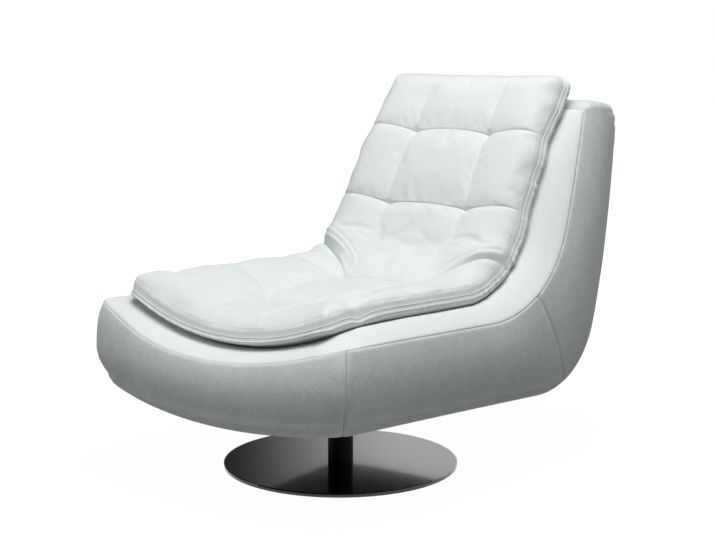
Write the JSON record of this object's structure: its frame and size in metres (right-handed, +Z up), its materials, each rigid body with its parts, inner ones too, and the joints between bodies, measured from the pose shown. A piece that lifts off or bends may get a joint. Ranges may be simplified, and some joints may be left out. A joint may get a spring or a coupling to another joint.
{
  "type": "swivel lounge chair",
  "caption": "Armless swivel lounge chair: a reclined one-piece upholstered shell with a loose tufted pad on a short column and a flat round base.",
  "frame": {"origin": "centre of the floor pad's underside, on the swivel axis at floor level", "axes": "+Z up, the chair faces -Y, +X to the sitter's left"},
  "size_m": [0.6948, 1.0658, 0.8194],
  "materials": {
    "upholstery": "brushed suede-like fabric",
    "dust_cloth": "non-woven cloth",
    "foam": "open-cell foam",
    "webbing": "elastic webbing",
    "plywood": "raw plywood",
    "black_metal": "smooth black powder coat, half gloss",
    "floor_felt": "matt",
    "steel": "machined",
    "nylon": "moulded"
  },
  "bodies": {
    "base": {"base_disc": "black_metal", "floor_pad": "floor_felt", "column_tube": "black_metal", "foot_plug": "steel", "foot_screws": "steel", "lower_bush": "nylon", "upper_bush": "nylon", "lower_race": "steel"},
    "bearing_cage": {"ball_cage": "nylon", "bearing_balls": "steel"},
    "seat": {"deck_cover": "upholstery", "side_border_left": "upholstery", "side_border_right": "upholstery", "front_border": "upholstery", "top_border": "upholstery", "outside_back": "upholstery", "lounge_pad": "upholstery", "dust_cover": "dust_cloth", "seat_foam": "foam", "back_foam": "foam", "back_straps": "webbing", "seat_board": "plywood", "front_rail": "plywood", "spring_rail": "plywood", "rear_rail": "plywood", "lumbar_rail": "plywood", "top_rail": "plywood", "frame_side_left": "plywood", "frame_side_right": "plywood", "upper_race": "steel", "spindle": "steel", "spindle_collar": "steel", "retaining_washer": "steel", "retaining_ring": "steel", "swivel_plate": "steel", "plate_bolts": "steel", "plate_washers": "steel", "tee_nuts": "steel", "rail_screws": "steel", "seat_springs": "steel", "spring_clips": "nylon"}
  },
  "joints": [
    {"name": "seat_swivel", "type": "hinge", "parent": "base", "child": "seat", "pos_m": [0, 0, 0.18], "axis": [0, 0, 1], "continuous": true},
    {"name": "cage_roll", "type": "hinge", "parent": "base", "child": "bearing_cage", "pos_m": [0, 0, 0.18], "axis": [0, 0, 1], "continuous": true}
  ],
  "couplings": [
    {"joint": "cage_roll", "follows": "seat_swivel", "ratio": 0.5}
  ]
}
